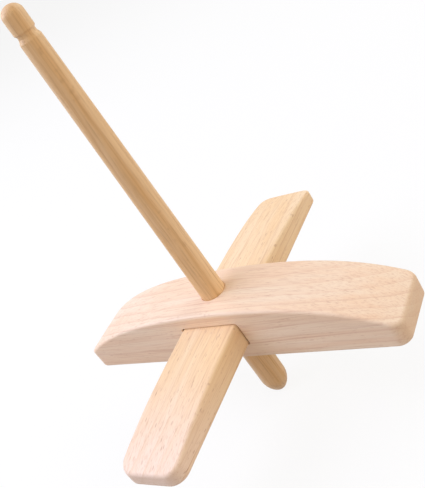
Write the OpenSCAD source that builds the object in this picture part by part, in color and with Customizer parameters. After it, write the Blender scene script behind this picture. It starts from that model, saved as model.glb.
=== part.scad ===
// Turkish drop spindle: a tapered shaft that carries two crossed arms.
// The inner arm passes through a window in the outer arm, and the shaft passes through both,
// so the three loose pieces lock each other. Millimetres. The shaft's axis is Z, its lower tip
// stands at the origin, the outer arm lies along X and the inner arm along Y.

/* [Shaft] */
// Length of the shaft from its lower tip to the crown of its knob
shaft_l = 203.1; // [160:0.5:260]
// Diameter of the shaft where the arms sit
seat_d = 11.5; // [10:0.1:16]
// Diameter of the shaft just below its groove, at the end of the taper
shoulder_d = 9.1; // [8:0.1:9.4]
// How much wider the shaft is below the arms than at their seat, which stops them
stop_step = 1.2; // [0.4:0.1:2]
// Length over which the shaft widens below the arms
stop_l = 5; // [1:0.5:8]

/* [Lower tip] */
// Length of the rounded lower tip
tip_l = 8.8; // [5:0.1:14]
// Diameter of the flat that the tip ends in
tip_flat_d = 5.5; // [3:0.1:8]
// Chamfer around that flat
tip_chamfer = 0.4; // [0.2:0.1:1]

/* [Knob and groove] */
// Diameter of the knob at the upper end
knob_d = 8.8; // [8:0.1:12]
// Length of the knob from its lower edge to its crown
knob_l = 9.9; // [8:0.1:16]
// Height of the knob's rounded crown
crown_h = 3.8; // [3:0.1:6]
// Length of the groove for the yarn's half hitch
groove_l = 3.5; // [2.5:0.1:8]
// Diameter of the shaft at the bottom of the groove
neck_d = 7.6; // [5:0.1:7.8]
// Length of the slope on the groove's lower side
groove_slope = 1.6; // [0.5:0.1:1.8]
// Length of the steep undercut below the knob
groove_undercut = 0.7; // [0.2:0.1:0.7]

/* [Outer arm] */
// Height of the arms' underside above the shaft's lower tip
arm_z = 36.6; // [25:0.1:60]
// Length of the outer arm
outer_l = 166; // [120:1:220]
// Width of the outer arm
outer_w = 29.8; // [24:0.1:40]
// Thickness of the outer arm at its ends
outer_end_h = 10; // [6:0.1:18]
// Radius of the outer arm's corners, seen from above
outer_corner_r = 4.8; // [3.5:0.1:10]
// Share of the outer arm's fall that comes late, near the ends
outer_late = 0.46; // [0:0.01:1]

/* [Window in the outer arm] */
// Wood below the window
window_floor = 7.8; // [5:0.1:14]
// Wood above the window, where the outer arm is thickest
window_roof = 6.7; // [4:0.1:14]
// Gap between the inner arm and each side of the window
side_gap = 0.5; // [0.2:0.05:1]
// Gap between the inner arm and the top of the window
roof_gap = 0.2; // [0.1:0.05:0.6]

/* [Inner arm] */
// Length of the inner arm
inner_l = 166; // [120:1:220]
// Width of the inner arm
inner_w = 29.1; // [24:0.1:40]
// Thickness of the inner arm at its middle
inner_mid_h = 12.3; // [9:0.1:16]
// Thickness of the inner arm at its ends
inner_end_h = 6.8; // [5:0.1:9]
// Radius of the inner arm's corners, seen from above
inner_corner_r = 6; // [3.5:0.1:10]
// Share of the inner arm's fall that comes late, near the ends
inner_late = 0.66; // [0:0.01:1]

/* [Edges and fits] */
// Radius of the rounded edges of both arms, and of the window's corners
edge_r = 1.3; // [0.5:0.1:2.4]
// Gap all round between the shaft and the bores of the arms
bore_gap = 0.05; // [0.02:0.01:0.1]
// Chamfer at both mouths of the outer arm's bore
mouth_chamfer = 0.3; // [0.1:0.1:0.8]

/* [Hidden] */

// Facets of a full turn on round pieces
round_fn = 96;
// Steps along each long side of an arm, and around each quarter turn of a corner or an edge
side_steps = 30;
corner_steps = 5;
edge_steps = 4;
// How far a cut runs past the faces it opens
overrun = 1;

seat_r = seat_d / 2;
foot_r = seat_r + stop_step / 2;
shoulder_r = shoulder_d / 2;
knob_r = knob_d / 2;
neck_r = neck_d / 2;
tip_flat_r = tip_flat_d / 2;
bore_r = seat_r + bore_gap;

// The window takes its size from the inner arm, and the outer arm's thickness from the window.
window_w = inner_w + 2 * side_gap;
window_h = inner_mid_h + roof_gap;
outer_mid_h = window_floor + window_h + window_roof;
window_z = arm_z + window_floor;
arm_top = arm_z + outer_mid_h;

// Heights on the shaft, counted down from its crown
knob_z = shaft_l - knob_l;
crown_z = shaft_l - crown_h;
shoulder_z = knob_z - groove_l;

// The lower tip is one arc: tangent to the shaft's side above, and meeting the flat's chamfer below.
tip_drop = foot_r - tip_flat_r - tip_chamfer;
tip_rise = tip_l - tip_chamfer;
tip_arc_r = (tip_drop * tip_drop + tip_rise * tip_rise) / (2 * tip_drop);
tip_turn = asin(tip_rise / tip_arc_r);
tip_arc = [for (i = [0:10]) let (a = tip_turn * (1 - i / 10))
    [foot_r - tip_arc_r * (1 - cos(a)), tip_l - tip_arc_r * sin(a)]];

// Quarter of an ellipse, from the knob's side to its crown
crown_arc = [for (i = [0:12]) let (a = 90 * i / 12)
    [knob_r * cos(a), crown_z + crown_h * sin(a)]];

shaft_outline = concat(
    [[0, 0], [tip_flat_r, 0]],
    tip_arc,
    [
        [foot_r, arm_z - stop_l],
        [seat_r, arm_z],
        [seat_r, arm_top],
        [shoulder_r, shoulder_z],
        [neck_r, shoulder_z + groove_slope],
        [neck_r, knob_z - groove_undercut],
        [knob_r, knob_z],
    ],
    crown_arc
);

module shaft() {
    color("#c89a64")
    rotate_extrude($fn = round_fn)
        polygon(shaft_outline);
}

// Height of an arched top above the underside, at distance s from the middle
function arch(s, l, mid_h, end_h, late) =
    let (u = min(1, abs(s) / (l / 2)))
    mid_h - (mid_h - end_h) * ((1 - late) * u * u + late * u * u * u * u);

// Plan of an arm, drawn in by d all round: it runs anticlockwise from the lower corner of the +X end
function plan(l, w, r, d) =
    let (x = l / 2 - r, y = w / 2 - r, q = r - d, n = corner_steps, m = side_steps)
    concat(
        [for (i = [0:n]) [x + q * cos(90 * i / n), y + q * sin(90 * i / n)]],
        [for (i = [1:m - 1]) [x - 2 * x * i / m, y + q]],
        [for (i = [0:n]) [-x - q * sin(90 * i / n), y + q * cos(90 * i / n)]],
        [for (i = [0:n]) [-x - q * cos(90 * i / n), -y - q * sin(90 * i / n)]],
        [for (i = [1:m - 1]) [-x + 2 * x * i / m, -y - q]],
        [for (i = [0:n]) [x + q * sin(90 * i / n), -y - q * cos(90 * i / n)]]
    );

// A straight bar along X with a flat underside at z = 0, an arched top and every edge rounded.
// It is a stack of rings: up the lower edge, up the side wall, then over the upper edge.
module bar(l, w, r, mid_h, end_h, late) {
    turns = [for (i = [0:edge_steps]) 90 * i / edge_steps];
    lower = [for (a = turns) [for (p = plan(l, w, r, edge_r * (1 - sin(a))))
        [p.x, p.y, edge_r * (1 - cos(a))]]];
    upper = [for (a = turns) [for (p = plan(l, w, r, edge_r * (1 - cos(a))))
        [p.x, p.y, arch(p.x, l, mid_h, end_h, late) - edge_r * (1 - sin(a))]]];
    rings = concat(lower, upper);
    n = len(rings[0]);
    top = (len(rings) - 1) * n;
    polyhedron(
        points = [for (ring = rings) each ring],
        faces = concat(
            [[for (k = [0:n - 1]) k]],
            [for (j = [0:len(rings) - 2]) for (k = [0:n - 1]) let (a = j * n + k, b = j * n + (k + 1) % n)
                [a + n, b + n, b, a]],
            [for (k = [0:n / 2 - 2]) [top + n - 1 - k, top + n - 2 - k, top + k + 1, top + k]]
        )
    );
}

// The window in the outer arm, which has the inner arm's own rounded corners
module window() {
    inner_x = window_w / 2 - edge_r;
    translate([0, 0, window_z])
        rotate([90, 0, 0])
            linear_extrude(outer_w + 2 * overrun, center = true)
                union() {
                    translate([-inner_x, 0])
                        square([2 * inner_x, window_h]);
                    translate([-window_w / 2, edge_r])
                        square([window_w, window_h - 2 * edge_r]);
                    for (x = [-inner_x, inner_x])
                        for (z = [edge_r, window_h - edge_r])
                            translate([x, z])
                                circle(r = edge_r, $fn = 32);
                }
}

// The upright bore for the shaft, from height z0 to height z1
module bore(z0, z1) {
    translate([0, 0, z0])
        cylinder(h = z1 - z0, r = bore_r, $fn = round_fn);
}

// The chamfer at a bore's mouth: dir is 1 where the mouth opens upwards and -1 downwards
module mouth(z, dir) {
    translate([0, 0, z])
        mirror([0, 0, dir > 0 ? 0 : 1])
            translate([0, 0, -mouth_chamfer])
                cylinder(h = 2 * mouth_chamfer, r1 = bore_r, r2 = bore_r + 2 * mouth_chamfer, $fn = round_fn);
}

module outer_arm() {
    color("#f2dac2")
    difference() {
        translate([0, 0, arm_z])
            bar(outer_l, outer_w, outer_corner_r, outer_mid_h, outer_end_h, outer_late);
        window();
        bore(arm_z - overrun, arm_top + overrun);
        mouth(arm_z, -1);
        mouth(arm_top, 1);
    }
}

module inner_arm() {
    color("#f0d3ad")
    difference() {
        translate([0, 0, window_z])
            rotate([0, 0, 90])
                bar(inner_l, inner_w, inner_corner_r, inner_mid_h, inner_end_h, inner_late);
        bore(window_z - overrun, window_z + inner_mid_h + overrun);
    }
}

shaft();
outer_arm();
inner_arm();
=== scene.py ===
"""A turkish drop spindle in pale beech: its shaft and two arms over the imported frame, on a white floor."""
from math import asin, cos, hypot, pi, radians, sin, tan

import bpy
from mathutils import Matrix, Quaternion, Vector


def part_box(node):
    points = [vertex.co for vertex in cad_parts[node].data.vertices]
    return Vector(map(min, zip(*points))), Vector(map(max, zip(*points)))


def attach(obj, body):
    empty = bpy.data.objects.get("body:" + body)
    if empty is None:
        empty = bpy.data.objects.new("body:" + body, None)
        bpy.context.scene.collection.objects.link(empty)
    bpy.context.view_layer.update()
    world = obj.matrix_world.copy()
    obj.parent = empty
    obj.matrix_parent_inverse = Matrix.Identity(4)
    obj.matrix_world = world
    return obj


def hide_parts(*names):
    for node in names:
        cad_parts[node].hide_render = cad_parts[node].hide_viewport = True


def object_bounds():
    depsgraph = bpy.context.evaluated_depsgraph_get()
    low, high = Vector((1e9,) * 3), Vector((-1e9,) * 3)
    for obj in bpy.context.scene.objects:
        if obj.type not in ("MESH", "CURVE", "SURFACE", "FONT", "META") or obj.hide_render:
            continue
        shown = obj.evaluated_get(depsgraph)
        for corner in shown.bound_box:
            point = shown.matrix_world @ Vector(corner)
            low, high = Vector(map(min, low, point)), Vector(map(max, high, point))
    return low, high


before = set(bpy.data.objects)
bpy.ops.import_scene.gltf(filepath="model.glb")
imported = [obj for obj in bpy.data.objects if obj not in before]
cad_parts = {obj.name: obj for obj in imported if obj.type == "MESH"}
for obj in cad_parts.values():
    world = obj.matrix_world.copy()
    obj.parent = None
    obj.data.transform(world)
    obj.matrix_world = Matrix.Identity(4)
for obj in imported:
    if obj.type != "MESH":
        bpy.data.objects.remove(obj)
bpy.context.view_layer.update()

MM = 0.001
# Signs of x and y in the four quarters, anticlockwise
QUARTERS = ((1, 1), (-1, 1), (-1, -1), (1, -1))


# Camera

# Height of the photograph in pixels, on which the focal length and the shift are given
PHOTO_H = 488
# Where the camera stands and looks, in millimetres, and its roll in degrees
CAMERA_AT = Vector((189.55, -182.12, 218.19)) * MM
CAMERA_AIM = Vector((7.135, 6.886, 82.619)) * MM
CAMERA_ROLL = -34.865
FOCAL_PIXELS = 704.3
CENTRE_SHIFT = (3.14, 1.80)
SENSOR = 36.0


def make_camera():
    """The photograph's camera, rolled so that the upright shaft leans up to the left of the picture."""
    data = bpy.data.cameras.new("camera")
    data.sensor_width = SENSOR
    data.lens = FOCAL_PIXELS / PHOTO_H * SENSOR
    data.shift_x = CENTRE_SHIFT[0] / PHOTO_H
    data.shift_y = CENTRE_SHIFT[1] / PHOTO_H
    data.clip_start = 0.01
    camera = bpy.data.objects.new("camera", data)
    bpy.context.scene.collection.objects.link(camera)
    level = (CAMERA_AIM - CAMERA_AT).to_track_quat("-Z", "Y")
    camera.rotation_mode = "QUATERNION"
    camera.rotation_quaternion = level @ Quaternion((0, 0, 1), radians(CAMERA_ROLL))
    camera.location = CAMERA_AT
    bpy.context.scene.camera = camera


# Light and stage

SKY_COLOUR = (1.0, 0.92, 0.86)
SKY_STRENGTH = 0.3
# Each lamp: the direction it stands in, its size in metres, its colour and its level
LAMPS = {
    "key": ((-0.93, -0.37, 1.15), 1.3, (0.78, 0.80, 1.0), 1.25),
    "back": ((0.5, 0.8, 0.6), 1.2, (1.0, 1.0, 0.92), 0.39),
    "right": ((1.0, 0.0, 0.2), 1.2, (1.0, 0.76, 0.52), 0.40),
    "front": ((0.15, -1.0, 0.25), 1.2, (1.0, 0.95, 0.85), 0.07),
}
LAMP_DISTANCE = 1.2
# Height that the lamps are aimed at, in millimetres
LIT_HEIGHT = 80
# Half of the floor's width in metres, and how far it lies below the tip, in millimetres
FLOOR_HALF = 4.0
FLOOR_DROP = 0.05
# What the floor throws back on the spindle, and what the camera sees of it: mostly white, part shaded
FLOOR_BOUNCE = (0.5, 0.46, 0.42)
FLOOR_SEEN = (0.95, 0.95, 0.95)
FLOOR_SHADOW_SHARE = 0.12


def area_lamp(name, direction, size, colour, level):
    """A square soft lamp aimed at the spindle. At level 1 a colour that faces it renders as it is written."""
    data = bpy.data.lights.new(name, "AREA")
    data.size = size
    data.color = colour
    data.energy = level * pi * pi * LAMP_DISTANCE ** 2
    lamp = bpy.data.objects.new(name, data)
    bpy.context.scene.collection.objects.link(lamp)
    towards = Vector(direction).normalized()
    middle = Vector((0, 0, LIT_HEIGHT * MM))
    lamp.location = middle + towards * LAMP_DISTANCE
    lamp.rotation_mode = "QUATERNION"
    lamp.rotation_quaternion = (-towards).to_track_quat("-Z", "Y")


def make_world():
    """An even sky: warm and soft as a light, plain white where the camera or a reflection sees it."""
    world = bpy.data.worlds.new("studio")
    bpy.context.scene.world = world
    world.use_nodes = True
    g = Graph(world.node_tree)
    path = g.add("ShaderNodeLightPath")
    seen = g.math("MAXIMUM", path.outputs["Is Camera Ray"], path.outputs["Is Glossy Ray"])
    seen = g.math("MAXIMUM", seen, path.outputs["Is Transmission Ray"])
    sky = g.add("ShaderNodeBackground", {"Color": (*SKY_COLOUR, 1), "Strength": SKY_STRENGTH})
    white = g.add("ShaderNodeBackground", {"Color": (1, 1, 1, 1), "Strength": 1.0})
    mixed = g.add("ShaderNodeMixShader", {0: seen, 1: sky.outputs[0], 2: white.outputs[0]})
    g.add("ShaderNodeOutputWorld", {"Surface": mixed.outputs[0]})


def make_floor():
    """A wide pale floor at the tip: white to the camera, but still taking the spindle's soft shadow."""
    mesh = bpy.data.meshes.new("floor")
    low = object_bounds()[0][2] - FLOOR_DROP * MM
    corners = [(sx * FLOOR_HALF, sy * FLOOR_HALF, low) for sx, sy in QUARTERS]
    mesh.from_pydata(corners, [], [(0, 1, 2, 3)])
    plane = bpy.data.objects.new("floor", mesh)
    bpy.context.scene.collection.objects.link(plane)
    material = bpy.data.materials.new("floor")
    material.use_nodes = True
    g = Graph(material.node_tree)
    path = g.add("ShaderNodeLightPath")
    pale = g.add("ShaderNodeBsdfDiffuse", {"Color": (*FLOOR_BOUNCE, 1)})
    bright = g.add("ShaderNodeBsdfDiffuse", {"Color": (*FLOOR_SEEN, 1)})
    glow = g.add("ShaderNodeEmission", {"Color": (1, 1, 1, 1), "Strength": 1.0})
    seen = g.add("ShaderNodeMixShader", {0: FLOOR_SHADOW_SHARE, 1: glow.outputs[0], 2: bright.outputs[0]})
    direct = g.math("MAXIMUM", path.outputs["Is Camera Ray"], path.outputs["Is Glossy Ray"])
    mixed = g.add("ShaderNodeMixShader", {0: direct, 1: pale.outputs[0], 2: seen.outputs[0]})
    g.add("ShaderNodeOutputMaterial", {"Surface": mixed.outputs[0]})
    mesh.materials.append(material)


# Shader graphs

class Graph:
    """Adds nodes to a node tree. An input given a socket is linked, and one given a value is set."""

    def __init__(self, tree):
        self.tree = tree
        tree.nodes.clear()

    def add(self, kind, inputs=None, **settings):
        node = self.tree.nodes.new(kind)
        for name, value in settings.items():
            setattr(node, name, value)
        for key, value in (inputs or {}).items():
            if isinstance(value, bpy.types.NodeSocket):
                self.tree.links.new(value, node.inputs[key])
            else:
                node.inputs[key].default_value = value
        return node

    def math(self, operation, a, b=0.0, c=0.0):
        inputs = {0: a, 1: b, 2: c}
        return self.add("ShaderNodeMath", inputs, operation=operation).outputs[0]

    def vector(self, operation, a, b=(0, 0, 0)):
        return self.add("ShaderNodeVectorMath", {0: a, 1: b}, operation=operation).outputs[0]

    def combine(self, x, y, z):
        return self.add("ShaderNodeCombineXYZ", {0: x, 1: y, 2: z}).outputs[0]

    def separate(self, vector):
        return self.add("ShaderNodeSeparateXYZ", {0: vector}).outputs

    def ramp(self, value, low, high, to_low=0.0, to_high=1.0):
        """value mapped smoothly from low..high to to_low..to_high, and held at the ends."""
        inputs = {0: value, 1: low, 2: high, 3: to_low, 4: to_high}
        return self.add("ShaderNodeMapRange", inputs, interpolation_type="SMOOTHSTEP").outputs[0]

    def mix(self, factor, a, b, blend="MIX"):
        node = self.add("ShaderNodeMix", {0: factor}, data_type="RGBA", blend_type=blend)
        for socket, value in ((node.inputs[6], a), (node.inputs[7], b)):
            if isinstance(value, bpy.types.NodeSocket):
                self.tree.links.new(value, socket)
            else:
                socket.default_value = (*value, 1)
        return node.outputs[2]

    def noise(self, vector, detail=2.0, roughness=0.5):
        inputs = {"Vector": vector, "Scale": 1.0, "Detail": detail, "Roughness": roughness}
        return self.add("ShaderNodeTexNoise", inputs).outputs[0]

    def voronoi(self, vector):
        return self.add("ShaderNodeTexVoronoi", {"Vector": vector, "Scale": 1.0}).outputs


# Beech: lengths along the wood are in millimetres

# How far the rings wander, and the size of that wandering across and along the grain
DRIFT = 5.0
DRIFT_SIZE = (22, 22, 90)
# Sizes of soft bands, fibres, hairs and end-grain pores: from the pith outwards, round it, and along it
BAND_SIZE = (6, 9, 110)
FIBRE_SIZE = (0.7, 0.7, 26)
HAIR_SIZE = (0.28, 0.28, 7)
PORE_SIZE = (0.5, 0.35, 40)
# Cells that hold the long and the short ray flecks
DASH_CELL = (6, 1.0, 5.5)
SPECK_CELL = (4, 0.6, 2.8)
BLUSH_SHARE = 0.8
BUMP_STRENGTH = 0.22
BUMP_HEIGHT = 0.06


def scaled(g, space, size):
    """Wood coordinates divided by a feature's size along each of them."""
    return g.combine(*(g.math("MULTIPLY", part, 1 / s) for part, s in zip(space, size)))


def grain_space(g, along, pith, mean_r):
    """Wood coordinates: distance from the pith, way round it, and way along the grain.
    along is the axis that the grain follows, and pith is where the tree's middle lies beside the piece."""
    place = g.add("ShaderNodeTexCoord").outputs["Object"]
    x, y, z = g.separate(g.vector("MULTIPLY", place, (1 / MM, 1 / MM, 1 / MM)))
    across, up, length = {"X": (y, z, x), "Y": (x, z, y), "Z": (x, y, z)}[along]
    slow = g.noise(scaled(g, (across, up, length), DRIFT_SIZE), detail=2.0)
    drift = g.math("MULTIPLY_ADD", slow, DRIFT, -DRIFT / 2)
    a = g.math("SUBTRACT", across, pith[0])
    b = g.math("SUBTRACT", up, pith[1])
    radius = g.math("SQRT", g.math("ADD", g.math("MULTIPLY", a, a), g.math("MULTIPLY", b, b)))
    turn = g.math("MULTIPLY", g.math("ARCTAN2", a, b), mean_r)
    return g.math("ADD", radius, drift), turn, length


def growth_rings(g, space, ring, rings_at):
    """A year's slow deepening, and the thin line that ends it, stronger in some years than in others."""
    radius, _, length = space
    count = g.math("MULTIPLY_ADD", radius, 1 / ring, rings_at)
    season = g.math("FRACT", count)
    year = g.math("MULTIPLY", g.math("FLOOR", count), 3.7)
    vigour = g.noise(g.combine(year, 0.0, g.math("MULTIPLY", length, 1 / 160)), detail=0.0)
    line = g.math("MULTIPLY", g.math("POWER", season, 9.0), g.ramp(vigour, 0.35, 0.62, 0.25, 1.0))
    return g.math("POWER", season, 2.0), line


def ray_flecks(g, space, cell, spot, channel, chosen):
    """Short dark spindles, one in some of the cells. spot is where a spindle's edge starts and ends to fade,
    and chosen is the range of the cell's own random channel over which it comes in."""
    cells = g.voronoi(scaled(g, space, cell))
    picked = g.ramp(g.separate(cells["Color"])[channel], *chosen)
    return g.math("MULTIPLY", g.ramp(cells["Distance"], *spot, 1.0, 0.0), picked)


def end_grain(g, along):
    """How squarely the surface cuts across the grain."""
    normal = g.separate(g.add("ShaderNodeTexCoord").outputs["Normal"])["XYZ".index(along)]
    return g.ramp(g.math("ABSOLUTE", normal), 0.45, 0.95)


def beech(name, along, pith, middle, ring, tones, rings_at=0.0, fleck=1.0, streak=1.0, line=1.0,
          roughness=0.5, blush=None):
    """Pale planed beech, solid right through: growth rings, fine fibres, ray flecks and darker end grain.
    middle is the middle of the piece across the grain, and fleck, streak and line say how strong each is.
    blush, where given, is a tone that the wood drifts to along its grain, from one place to another."""
    material = bpy.data.materials.new(name)
    material.use_nodes = True
    g = Graph(material.node_tree)
    space = grain_space(g, along, pith, hypot(pith[0] - middle[0], pith[1] - middle[1]))
    early, late = growth_rings(g, space, ring, rings_at)
    broad = g.noise(scaled(g, space, BAND_SIZE), detail=3.0, roughness=0.55)
    fibre = g.noise(scaled(g, space, FIBRE_SIZE), detail=3.0, roughness=0.6)
    hair = g.noise(scaled(g, space, HAIR_SIZE), detail=2.0, roughness=0.6)
    dash = ray_flecks(g, space, DASH_CELL, (0.1, 0.26), 0, (0.3, 0.85))
    speck = ray_flecks(g, space, SPECK_CELL, (0.1, 0.3), 1, (0.3, 0.9))
    pore = g.noise(scaled(g, space, PORE_SIZE), detail=2.0)
    end = end_grain(g, along)

    colour = g.mix(g.ramp(broad, 0.3, 0.7), tones["pale"], tones["warm"])
    if blush:
        tone, start, finish = blush
        colour = g.mix(g.ramp(space[2], finish, start, BLUSH_SHARE, 0.0), colour, tone)
    colour = g.mix(g.math("MULTIPLY", early, 0.45 * line), colour, tones["late"])
    colour = g.mix(g.math("MULTIPLY", late, 0.6 * line), colour, tones["line"])
    colour = g.mix(g.ramp(fibre, 0.45, 0.8, 0.0, 0.4 * streak), colour, tones["line"])
    colour = g.mix(g.ramp(fibre, 0.2, 0.45, 0.35 * streak, 0.0), colour, tones["pale"])
    colour = g.mix(g.ramp(hair, 0.55, 0.8, 0.0, 0.25 * streak), colour, tones["line"])
    colour = g.mix(g.math("MULTIPLY", dash, 0.4 * fleck), colour, tones["fleck"])
    colour = g.mix(g.math("MULTIPLY", speck, 0.3 * fleck), colour, tones["fleck"])

    # End grain drinks the oil: it is deeper in colour and a little rougher.
    colour = g.mix(g.math("MULTIPLY", end, 0.55), colour, tones["end"])
    colour = g.mix(g.math("MULTIPLY", end, g.ramp(pore, 0.5, 0.8, 0.0, 0.35)), colour, tones["line"])

    raised = g.math("MULTIPLY_ADD", fibre, 0.6, g.math("MULTIPLY", hair, 0.4))
    height = g.math("SUBTRACT", raised, g.math("MULTIPLY", dash, 0.3))
    bump = g.add("ShaderNodeBump", {"Strength": BUMP_STRENGTH, "Distance": BUMP_HEIGHT * MM, "Height": height})
    gloss = g.ramp(fibre, 0.3, 0.7, roughness - 0.06, roughness + 0.06)
    gloss = g.math("ADD", gloss, g.math("MULTIPLY", end, 0.1))
    shader = g.add("ShaderNodeBsdfPrincipled", {
        "Base Color": colour, "Roughness": gloss, "Specular IOR Level": 0.35, "Normal": bump.outputs[0]})
    g.add("ShaderNodeOutputMaterial", {"Surface": shader.outputs[0]})
    return material


OUTER_TONES = {
    "pale": (0.97, 0.80, 0.62), "warm": (0.95, 0.72, 0.52), "late": (0.88, 0.60, 0.41),
    "line": (0.68, 0.42, 0.28), "fleck": (0.60, 0.35, 0.23), "end": (0.76, 0.58, 0.42)}
INNER_TONES = {
    "pale": (0.96, 0.75, 0.50), "warm": (0.93, 0.67, 0.39), "late": (0.86, 0.58, 0.32),
    "line": (0.66, 0.40, 0.22), "fleck": (0.52, 0.28, 0.16), "end": (0.90, 0.72, 0.60)}
# A pinker tone, and where along the inner arm it starts and is full
INNER_BLUSH = ((0.97, 0.79, 0.68), -25, -85)
SHAFT_TONES = {
    "pale": (0.90, 0.66, 0.40), "warm": (0.80, 0.50, 0.22), "late": (0.74, 0.44, 0.19),
    "line": (0.44, 0.25, 0.11), "fleck": (0.44, 0.25, 0.12), "end": (0.70, 0.44, 0.22)}


# Meshes

def new_piece(name, verts, faces, material, sharp=35):
    """A smooth-shaded mesh object whose edges stay crisp where they turn by more than sharp degrees."""
    mesh = bpy.data.meshes.new(name)
    mesh.from_pydata(verts, [], faces)
    mesh.validate()
    piece = bpy.data.objects.new(name, mesh)
    bpy.context.scene.collection.objects.link(piece)
    finish_shading(piece, sharp)
    if material:
        mesh.materials.append(material)
    return piece


def finish_shading(piece, sharp=35):
    piece.data.shade_smooth()
    piece.data.set_sharp_from_angle(angle=radians(sharp))


def softened(corners, steps=5):
    """An outline through (r, z, radius) corners, in which each corner with a radius becomes an arc."""
    points = []
    for i, (r, z, radius) in enumerate(corners):
        here = Vector((r, z))
        if not radius:
            points.append(here)
            continue
        before = (Vector(corners[i - 1][:2]) - here).normalized()
        after = (Vector(corners[i + 1][:2]) - here).normalized()
        half = before.angle(after) / 2
        centre = here + (before + after).normalized() * (radius / sin(half))
        start = here + before * (radius / tan(half)) - centre
        turn = (pi - 2 * half) * (1 if before.cross(after) < 0 else -1)
        for k in range(steps + 1):
            c, d = cos(turn * k / steps), sin(turn * k / steps)
            points.append(centre + Vector((start.x * c - start.y * d, start.x * d + start.y * c)))
    return points


def lathe(name, outline, material, turns=128):
    """A solid of revolution about Z from an outline that runs from the axis up to the axis."""
    verts = [(0, 0, outline[0].y)]
    rings = outline[1:-1]
    for p in rings:
        verts += [(p.x * cos(2 * pi * k / turns), p.x * sin(2 * pi * k / turns), p.y) for k in range(turns)]
    verts.append((0, 0, outline[-1].y))

    def at(i, k):
        return 1 + i * turns + k % turns

    faces = [(0, at(0, k + 1), at(0, k)) for k in range(turns)]
    for i in range(len(rings) - 1):
        faces += [(at(i, k), at(i, k + 1), at(i + 1, k + 1), at(i + 1, k)) for k in range(turns)]
    last = len(rings) - 1
    faces += [(len(verts) - 1, at(last, k), at(last, k + 1)) for k in range(turns)]
    return new_piece(name, [tuple(c * MM for c in v) for v in verts], faces, material)


# Shaft, in millimetres

SEAT_R = 5.75
NECK_R = 3.8
KNOB_R = 4.4
SHOULDER_R = 4.55
KNOB_L = 9.9
CROWN_H = 3.8
GROOVE_L = 3.5
GROOVE_SLOPE = 1.6
GROOVE_UNDERCUT = 0.7
TIP_L = 8.8
TIP_FLAT_R = 2.75
STOP_L = 5.0
TIP_STEPS = 16
TAPER_STEPS = 24
CROWN_STEPS = 14


def make_shaft():
    """The turned shaft: rounded tip, foot, the slight step under the arms, long taper, groove and knob."""
    low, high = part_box("shaft")
    foot_r = high[0] / MM
    top = high[2] / MM
    arm_low, arm_high = (corner[2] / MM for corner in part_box("outer_arm"))
    knob_z = top - KNOB_L
    crown_z = top - CROWN_H
    shoulder_z = knob_z - GROOVE_L

    drop = foot_r - TIP_FLAT_R
    arc_r = (drop ** 2 + TIP_L ** 2) / (2 * drop)
    turn = asin(TIP_L / arc_r)
    turns = [turn * (1 - k / TIP_STEPS) for k in range(1, TIP_STEPS + 1)]
    tip = [(foot_r - arc_r * (1 - cos(a)), TIP_L - arc_r * sin(a), 0) for a in turns]
    shares = [k / TAPER_STEPS for k in range(TAPER_STEPS)]
    taper = [(SEAT_R + (SHOULDER_R - SEAT_R) * u, arm_high + (shoulder_z - arm_high) * u, 0) for u in shares]
    turns = [pi / 2 * k / CROWN_STEPS for k in range(CROWN_STEPS)]
    crown = [(KNOB_R * cos(a), crown_z + CROWN_H * sin(a), 0) for a in turns]
    outline = softened(
        [(0, 0, 0), (TIP_FLAT_R, 0, 0.35)] + tip
        + [(foot_r, arm_low - STOP_L, 0), (SEAT_R, arm_low, 0)] + taper
        + [(SHOULDER_R, shoulder_z, 0.5), (NECK_R, shoulder_z + GROOVE_SLOPE, 0.8),
           (NECK_R, knob_z - GROOVE_UNDERCUT, 0.35), (KNOB_R, knob_z, 0.2)]
        + crown + [(0, top, 0)])
    material = beech(
        "shaft_beech", "Z", pith=(38, 52), middle=(0, 0), ring=3.4, tones=SHAFT_TONES,
        fleck=0.6, streak=1.2, line=0.4, roughness=0.38)
    piece = lathe("shaft_turned", outline, material)
    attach(piece, "shaft")
    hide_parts("shaft")


# Arms, in millimetres

EDGE_R = 1.3
# How far the flat walls and the underside reach past the rounded edges before the next ring of points
EDGE_BESIDE = 0.3
EDGE_STEPS = 7
CORNER_STEPS = 10
SIDE_STEPS = 110
ACROSS_STEPS = 16
WINDOW_STEPS = 8
BORE_R = 5.8
# Depth of the flare at the bore's mouths and at the window's, and how far the cutters run past the faces
MOUTH = 0.3
WINDOW_FLARE = 0.25
OVERRUN = 1.0
# How much lower an arm's top is along its long edges than along its middle
CAMBER = 0.22
WINDOW_SIDE_GAP = 0.5
WINDOW_ROOF_GAP = 0.2


def arch(s, half, mid_h, end_h, late):
    """Height of an arm's top above its underside, at distance s from the middle."""
    u = min(1.0, abs(s) / half)
    return mid_h - (mid_h - end_h) * ((1 - late) * u ** 2 + late * u ** 4)


def plan(half_l, half_w, corners, inset):
    """An arm's outline from above, drawn in by inset, anticlockwise from the middle of its +X end.
    corners holds the radii of its four corners, anticlockwise from the +X +Y one."""
    middles = [(sx * (half_l - r), sy * (half_w - r)) for (sx, sy), r in zip(QUARTERS, corners)]
    arcs = []
    for i, ((x, y), r) in enumerate(zip(middles, corners)):
        turns = [pi / 2 * (i + k / CORNER_STEPS) for k in range(CORNER_STEPS + 1)]
        arcs.append([(x + (r - inset) * cos(a), y + (r - inset) * sin(a)) for a in turns])
    halfway = (arcs[0][0][0], 0.0)
    points = [halfway] + between(halfway, arcs[0][0], ACROSS_STEPS // 2) + arcs[0]
    points += between(arcs[0][-1], arcs[1][0], SIDE_STEPS) + arcs[1]
    far = (arcs[1][-1][0], 0.0)
    points += between(arcs[1][-1], far, ACROSS_STEPS // 2) + [far]
    points += between(far, arcs[2][0], ACROSS_STEPS // 2) + arcs[2]
    points += between(arcs[2][-1], arcs[3][0], SIDE_STEPS) + arcs[3]
    return points + between(arcs[3][-1], halfway, ACROSS_STEPS // 2)


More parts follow.
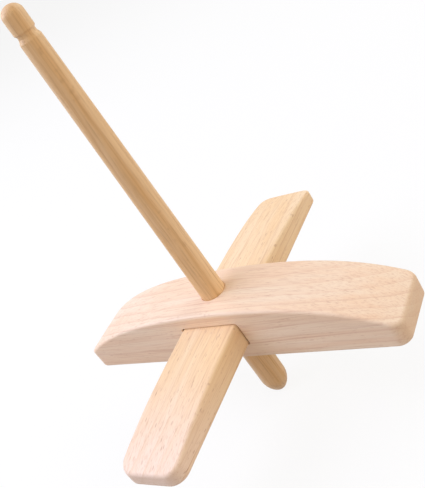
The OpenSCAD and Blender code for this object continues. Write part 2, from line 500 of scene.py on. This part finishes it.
def between(start, finish, steps):
    """The points that divide a straight stretch into equal steps, without its ends."""
    return [tuple(a + (b - a) * k / steps for a, b in zip(start, finish)) for k in range(1, steps)]


def arm_mesh(half_l, half_w, corners, z0, heights):
    """Vertices and faces of a solid arm along X: rings up its rounded edges, then a grid over its top."""
    mid_h, end_h, late = heights

    def top(x, y):
        return z0 + arch(x, half_l, mid_h, end_h, late) - CAMBER * (abs(y) / half_w) ** 3

    def outline(inset):
        return plan(half_l, half_w, corners, inset)

    turns = [pi / 2 * k / EDGE_STEPS for k in range(EDGE_STEPS + 1)]
    rings = [[(x, y, z0) for x, y in outline(EDGE_R + EDGE_BESIDE)]]
    for a in turns:
        rings.append([(x, y, z0 + EDGE_R * (1 - cos(a))) for x, y in outline(EDGE_R * (1 - sin(a)))])
    rings.append([(x, y, z0 + EDGE_R + EDGE_BESIDE) for x, y in outline(0)])
    rings.append([(x, y, top(x, y) - EDGE_R - EDGE_BESIDE) for x, y in outline(0)])
    for a in turns:
        rings.append([(x, y, top(x, y) - EDGE_R * (1 - sin(a))) for x, y in outline(EDGE_R * (1 - cos(a)))])
    n = len(rings[0])
    first = (len(rings) - 1) * n
    verts = [v for ring in rings for v in ring]
    faces = [tuple(reversed(range(n)))]
    for j in range(0, first, n):
        faces += [(j + k, j + (k + 1) % n, j + n + (k + 1) % n, j + n + k) for k in range(n)]

    # The top: rows of points across the arm, the first and last of them along its straight ends
    rim = rings[-1]
    half = ACROSS_STEPS // 2
    rows = [[first + (half - c) % n for c in range(ACROSS_STEPS + 1)]]
    for k in range(half + 1, n // 2 - half):
        inside = range(len(verts), len(verts) + ACROSS_STEPS - 1)
        verts += [(x, y, top(x, y)) for x, y in between(rim[k][:2], rim[n - k][:2], ACROSS_STEPS)]
        rows.append([first + k, *inside, first + n - k])
    rows.append([first + n // 2 - half + c for c in range(ACROSS_STEPS + 1)])
    for near, far in zip(rows, rows[1:]):
        faces += [(near[c], far[c], far[c + 1], near[c + 1]) for c in range(ACROSS_STEPS)]
    return verts, faces


def bore_cutter(z0, z1):
    """A cutter for the upright bore, flared at both mouths, from height z0 to height z1."""
    wide = BORE_R + MOUTH + OVERRUN
    outline = [Vector(p) for p in (
        (0, z0 - OVERRUN), (wide, z0 - OVERRUN), (BORE_R, z0 + MOUTH),
        (BORE_R, z1 - MOUTH), (wide, z1 + OVERRUN), (0, z1 + OVERRUN))]
    return lathe("cutter", outline, None, turns=96)


def window_cutter(half_w, half_h, z_mid, depth):
    """A cutter along Y for the window: a rounded rectangle in X and Z, flared where it leaves the arm."""
    beyond = WINDOW_FLARE + OVERRUN
    straight = depth - WINDOW_FLARE
    x, z = half_w - EDGE_R, half_h - EDGE_R
    verts = []
    for y, grow in ((-depth - OVERRUN, beyond), (-straight, 0), (straight, 0), (depth + OVERRUN, beyond)):
        for quarter, (sx, sz) in enumerate(QUARTERS):
            for k in range(WINDOW_STEPS + 1):
                a = pi / 2 * (quarter + k / WINDOW_STEPS)
                r = EDGE_R + grow
                verts.append((sx * x + r * cos(a), y, z_mid + sz * z + r * sin(a)))
    n = len(QUARTERS) * (WINDOW_STEPS + 1)
    last = len(verts) - n
    faces = [tuple(range(n)), tuple(reversed(range(last, last + n)))]
    for j in range(0, last, n):
        faces += [(j + k, j + n + k, j + n + (k + 1) % n, j + (k + 1) % n) for k in range(n)]
    verts = [tuple(c * MM for c in v) for v in verts]
    return new_piece("cutter", verts, faces, None)


def carve(piece, cutters):
    """Cuts the cutters out of a piece for good, and takes the cutters away."""
    for cutter in cutters:
        cut = piece.modifiers.new("cut", "BOOLEAN")
        cut.operation = "DIFFERENCE"
        cut.solver = "EXACT"
        cut.object = cutter
    graph = bpy.context.evaluated_depsgraph_get()
    mesh = bpy.data.meshes.new_from_object(piece.evaluated_get(graph))
    piece.modifiers.clear()
    piece.data = mesh
    for cutter in cutters:
        bpy.data.objects.remove(cutter)
    finish_shading(piece)


# Radii of each arm's corners as plan takes them, its thickness at its ends, and its fall's late share
OUTER = {"corners": (3.9, 5.2, 4.9, 5.2), "end_h": 10.0, "late": 0.46}
INNER = {"corners": (5.9, 7.2, 6.6, 4.0), "end_h": 6.8, "late": 0.66}


def make_outer_arm():
    """The thick arm along X, with the window for the inner arm and the bore for the shaft."""
    low, high = ([c / MM for c in corner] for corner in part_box("outer_arm"))
    inner_low, inner_high = ([c / MM for c in corner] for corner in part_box("inner_arm"))
    material = beech(
        "outer_beech", "X", pith=(46, low[2] + 65), middle=(0, low[2] + 12), ring=4.4, rings_at=0.15,
        tones=OUTER_TONES, fleck=0.8, line=0.7, streak=1.5)
    heights = (high[2] - low[2], OUTER["end_h"], OUTER["late"])
    verts, faces = arm_mesh(high[0], high[1], OUTER["corners"], low[2], heights)
    piece = new_piece("outer_arm_shaped", [tuple(c * MM for c in v) for v in verts], faces, material)
    window_h = inner_high[2] + WINDOW_ROOF_GAP - inner_low[2]
    carve(piece, [
        window_cutter(inner_high[0] + WINDOW_SIDE_GAP, window_h / 2, inner_low[2] + window_h / 2, high[1]),
        bore_cutter(low[2], high[2])])
    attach(piece, "arms")
    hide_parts("outer_arm")


def make_inner_arm():
    """The thin arm along Y, which lies in the outer arm's window."""
    low, high = ([c / MM for c in corner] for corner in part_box("inner_arm"))
    material = beech(
        "inner_beech", "Y", pith=(70, low[2] - 60), middle=(0, low[2] + 6), ring=5.0, rings_at=0.4,
        tones=INNER_TONES, fleck=1.2, line=0.5, streak=1.4, blush=INNER_BLUSH)
    heights = (high[2] - low[2], INNER["end_h"], INNER["late"])
    verts, faces = arm_mesh(high[1], high[0], INNER["corners"], low[2], heights)
    piece = new_piece("inner_arm_shaped", [(-y * MM, x * MM, z * MM) for x, y, z in verts], faces, material)
    carve(piece, [bore_cutter(low[2], high[2])])
    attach(piece, "arms")
    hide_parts("inner_arm")


bpy.context.scene.view_settings.view_transform = "Standard"
make_camera()
make_world()
make_floor()
for lamp, (direction, size, colour, level) in LAMPS.items():
    area_lamp(lamp, direction, size, colour, level)
make_shaft()
make_outer_arm()
make_inner_arm()
